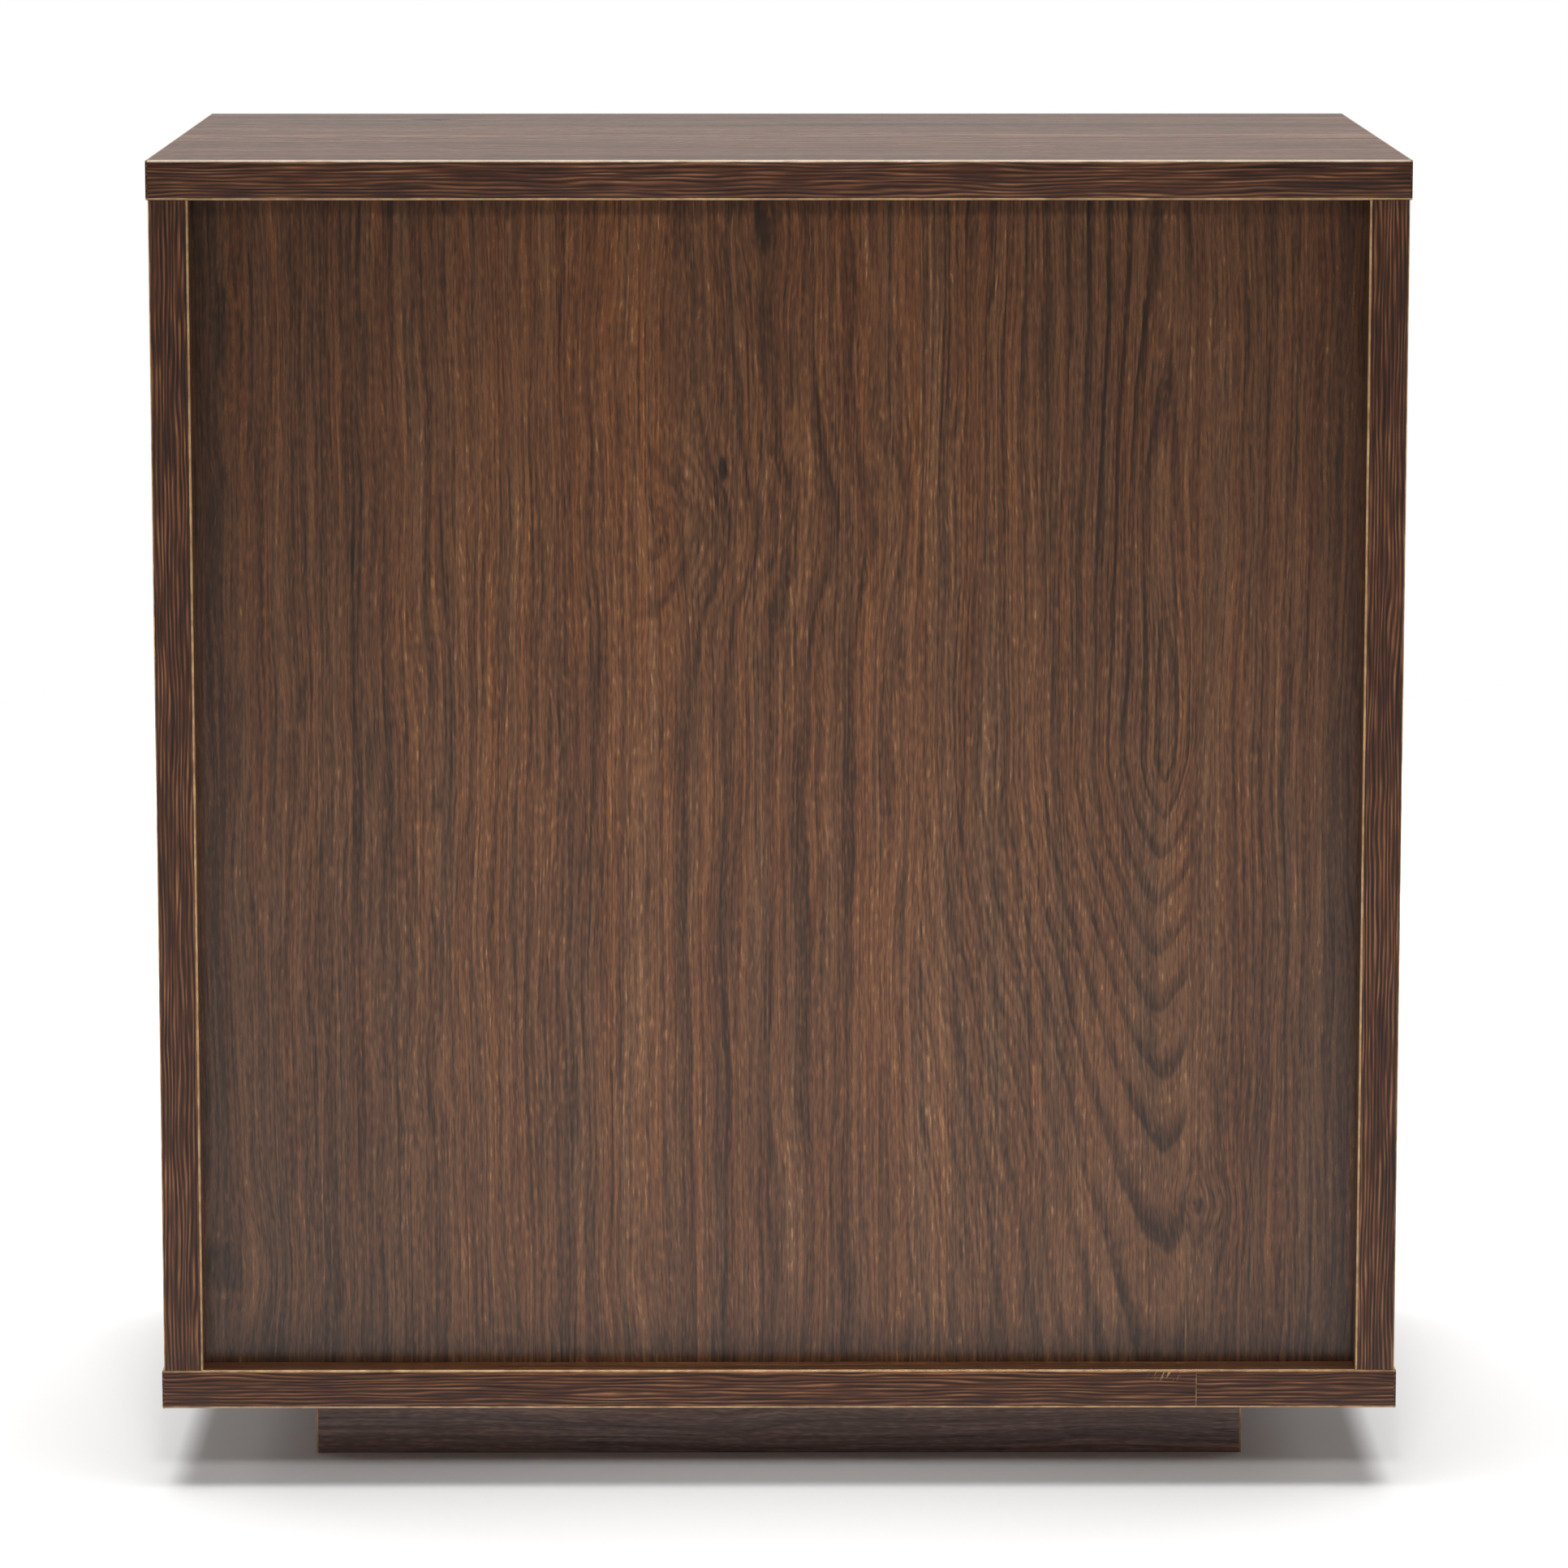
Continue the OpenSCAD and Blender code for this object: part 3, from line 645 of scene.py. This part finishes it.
def solids(name):
    """The points of each separate solid of a CAD node."""
    made = bmesh.new()
    made.from_mesh(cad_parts[name].data)
    made.transform(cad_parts[name].matrix_world)
    bmesh.ops.remove_doubles(made, verts=made.verts, dist=1e-6)
    made.verts.index_update()
    found, seen = [], set()
    for first in made.verts:
        if first.index in seen:
            continue
        seen.add(first.index)
        queue, points = [first], []
        while queue:
            vert = queue.pop()
            points.append(vert.co.copy())
            for edge in vert.link_edges:
                other = edge.other_vert(vert)
                if other.index not in seen:
                    seen.add(other.index)
                    queue.append(other)
        found.append(points)
    made.free()
    return found


def axis_of(points):
    """Where a long round solid starts, the way that it points and its length in mm. It starts
    at the end that is nearer to its widest ring."""
    low = Vector([min(point[i] for point in points) for i in range(3)])
    high = Vector([max(point[i] for point in points) for i in range(3)])
    along = max(range(3), key=lambda i: high[i] - low[i])
    middle = (low + high) / 2

    def off_axis(point):
        away = point - middle
        away[along] = 0
        return away.length
    widest = max(off_axis(point) for point in points)
    ring = [point[along] for point in points if off_axis(point) > 0.97 * widest]
    way = Vector((0, 0, 0))
    way[along] = 1 if sum(ring) / len(ring) < middle[along] else -1
    length = high[along] - low[along]
    return middle - way * length / 2, way, length / MM


def plain(along, radius):
    """A round ring, for add_turned."""
    return lambda turn: (along, radius)


def threaded(start, end, pitch, outer, depth):
    """Rings of a screw thread. outer is a function of the distance along it."""
    steps = round((end - start) / pitch * 4)

    def ring(along):
        def place(turn):
            groove = 0.5 + 0.5 * math.cos(math.tau * along / pitch - turn)
            return along, outer(along) - depth * groove
        return place
    return [ring(start + (end - start) * i / steps) for i in range(steps + 1)]


def cross_recess(face, inward, reach, depth):
    """Rings on an end face that sink a cross for a driver into it."""
    def ring(radius):
        def place(turn):
            arm = min(abs(math.cos(turn)), abs(math.sin(turn))) * radius
            return face + inward * depth * (1 if arm < 0.22 * reach else 0), radius
        return place
    rings = [ring(reach * share) for share in (1.02, 1.0, 0.7, 0.45)]
    return rings + [plain(face + inward * depth, 0.12)]


def bolt_rings(length):
    """A cam bolt: thread, collar, shank, neck, and a head with a cross recess."""
    return [
        plain(0, 0.8),
        *threaded(0.05, 10.4, 1.8, lambda along: min(2.0 + 0.66 * along, 3.0), 0.55),
        plain(10.5, 3.4), plain(10.7, 3.75), plain(11.8, 3.75), plain(12.0, 3.5), plain(12.0, 3.0),
        plain(36.2, 3.0), plain(36.5, 2.7), plain(36.5, 1.8), plain(39.4, 1.8),
        plain(length - 3.0, 3.2), plain(length - 1.0, 3.2), plain(length - 0.4, 2.95),
        plain(length, 2.2),
        *cross_recess(length, -1, 1.8, 1.3),
    ]


def screw_rings(length):
    """A countersunk chipboard screw, head first."""
    head = [plain(0.35, 3.5), plain(0.05, 3.4), plain(0.0, 2.9)]

    def outer(along):
        return min(1.75, 0.35 + 0.5 * (length - along))
    return [
        *reversed(cross_recess(0.0, 1, 2.1, 1.6)),
        *reversed(head), plain(2.2, 1.5), plain(4.0, 1.3),
        *threaded(4.2, length - 0.4, 1.6, outer, 0.5),
        plain(length, 0.1),
    ]


def dowel_rings(length):
    """A beech dowel with glue flutes that wind a little way round it."""
    def fluted(along, radius):
        return lambda turn: (along, radius - 0.28 * max(0, math.cos(16 * turn + 0.05 * along)) ** 2)
    steps = 10
    body = [fluted(1.1 + (length - 2.2) * i / steps, 3.95) for i in range(steps + 1)]
    return [plain(0, 2.9), plain(0.4, 3.3), *body, plain(length - 0.4, 3.3), plain(length, 2.9)]


def add_turned(made, foot, way, rings, around=32):
    """A solid along way, from rings that each give, in mm, a distance along it and the radius
    at a turn."""
    side = way.orthogonal().normalized()
    other_side = way.cross(side)
    rows = []
    for ring in rings:
        row = []
        for i in range(around):
            turn = math.tau * i / around
            along, radius = ring(turn)
            out = side * math.cos(turn) + other_side * math.sin(turn)
            row.append(made.verts.new(foot + MM * (along * way + radius * out)))
        rows.append(row)
    for row, after in zip(rows, rows[1:]):
        for i in range(around):
            j = (i + 1) % around
            made.faces.new((row[i], row[j], after[j], after[i])).smooth = True
    made.faces.new(rows[0])
    made.faces.new(list(reversed(rows[-1])))


def turned_piece(node, rings, around, material):
    """A turned piece in place of each solid of a CAD node. rings gives its rings for a length."""
    made = bmesh.new()
    for points in solids(node):
        foot, way, length = axis_of(points)
        add_turned(made, foot, way, rings(length), around)
    bmesh.ops.recalc_face_normals(made, faces=made.faces)
    mesh = bpy.data.meshes.new(node + "_turned")
    made.to_mesh(mesh)
    made.free()
    mesh.set_sharp_from_angle(angle=math.radians(40))
    piece = bpy.data.objects.new(node + "_turned", mesh)
    bpy.context.collection.objects.link(piece)
    mesh.materials.append(material)
    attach(piece, "root")
    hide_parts(node)


for name in ("top_cam_bolts", "bottom_cam_bolts", "side_cam_bolts"):
    turned_piece(name, bolt_rings, 24, STEEL)
turned_piece("plinth_block_screws", screw_rings, 24, STEEL)
for name in ("top_dowels", "bottom_dowels", "shelf_dowels", "plinth_dowels"):
    turned_piece(name, dowel_rings, 48, BEECH)


# ---- Studio ----


def add_floor(radius=2.6):
    mesh = bpy.data.meshes.new("studio_floor")
    made = bmesh.new()
    bmesh.ops.create_circle(made, cap_ends=True, segments=96, radius=radius)
    made.to_mesh(mesh)
    made.free()
    floor = bpy.data.objects.new("studio_floor", mesh)
    bpy.context.collection.objects.link(floor)
    floor.location.z = cad_low.z - 0.0002
    material = bpy.data.materials.new("studio_white")
    material.use_nodes = True
    shader = material.node_tree.nodes["Principled BSDF"]
    shader.inputs["Base Color"].default_value = (0.9, 0.9, 0.9, 1)
    shader.inputs["Roughness"].default_value = 0.8
    shader.inputs["Specular IOR Level"].default_value = 0.1
    mesh.materials.append(material)


def add_softbox(name, place, size, power, target, spread=180, glossy=True):
    lamp = bpy.data.lights.new(name, "AREA")
    lamp.shape = "RECTANGLE"
    lamp.size, lamp.size_y = size
    lamp.energy = power
    lamp.spread = math.radians(spread)
    holder = bpy.data.objects.new(name, lamp)
    bpy.context.collection.objects.link(holder)
    holder.location = place
    holder.rotation_euler = (Vector(target) - Vector(place)).to_track_quat("-Z", "Y").to_euler()
    holder.visible_camera = False
    holder.visible_glossy = glossy


def add_sun(strength, spread):
    """Soft light from straight above, the same over the whole floor."""
    lamp = bpy.data.lights.new("overhead", "SUN")
    lamp.energy = strength
    lamp.angle = math.radians(spread)
    holder = bpy.data.objects.new("overhead", lamp)
    bpy.context.collection.objects.link(holder)


def add_world(seen=1.0, lit=0.08):
    """A background that is white to look at and much dimmer as a light."""
    world = bpy.data.worlds.new("studio")
    bpy.context.scene.world = world
    world.use_nodes = True
    t = Tree(world.node_tree)
    path = t.node("ShaderNodeLightPath")
    background = world.node_tree.nodes["Background"]
    background.inputs["Color"].default_value = (1, 1, 1, 1)
    t.plug(background.inputs["Strength"], t.fit(path.outputs["Is Camera Ray"], 0.0, 1.0, lit, seen))


def add_camera(focal_length=156.8, aside=0.009, behind=3.238, height=0.848, tilt=8.79, turn=0.2):
    """The camera stands behind the unit, a little above it, and looks slightly down. Its place
    and angles, in degrees, fit the photo's perspective."""
    lens = bpy.data.cameras.new("camera")
    lens.sensor_width = 36
    lens.lens = focal_length
    camera = bpy.data.objects.new("camera", lens)
    bpy.context.collection.objects.link(camera)
    middle_x = (cad_low.x + cad_high.x) / 2
    camera.location = (middle_x + aside, cad_high.y + behind, cad_low.z + height)
    camera.rotation_euler = Euler((math.radians(90 - tilt), 0, math.radians(180 - turn)))
    bpy.context.scene.camera = camera


add_camera()
add_floor()
add_world()
middle = (cad_low + cad_high) / 2
for side, end, power in ((-1, -1, 16), (-1, 1, 6), (1, -1, 16), (1, 1, 8)):
    place = (2.1 * side, 1.3 * end, 0.9)
    add_softbox(f"side_{side}_{end}", place, (1.2, 1.8), power, (0, 0.2 * end, 0.35))
add_softbox("front_wall", (0, -3.6, 1.35), (4, 1.0), 7.7, (0, 0, 1.35))
add_softbox("front_fill", (0, -2.2, 0.34), (1.8, 0.5), 16, (0, 0, 0.34), glossy=False)
add_softbox("back_grid", (0, 1.75, 1.3), (0.35, 0.35), 0.72, (0, 0.2, 0.30), 30, False)
add_sun(3.2, 40)
bpy.context.scene.view_settings.view_transform = "Standard"

bpy.context.view_layer.update()
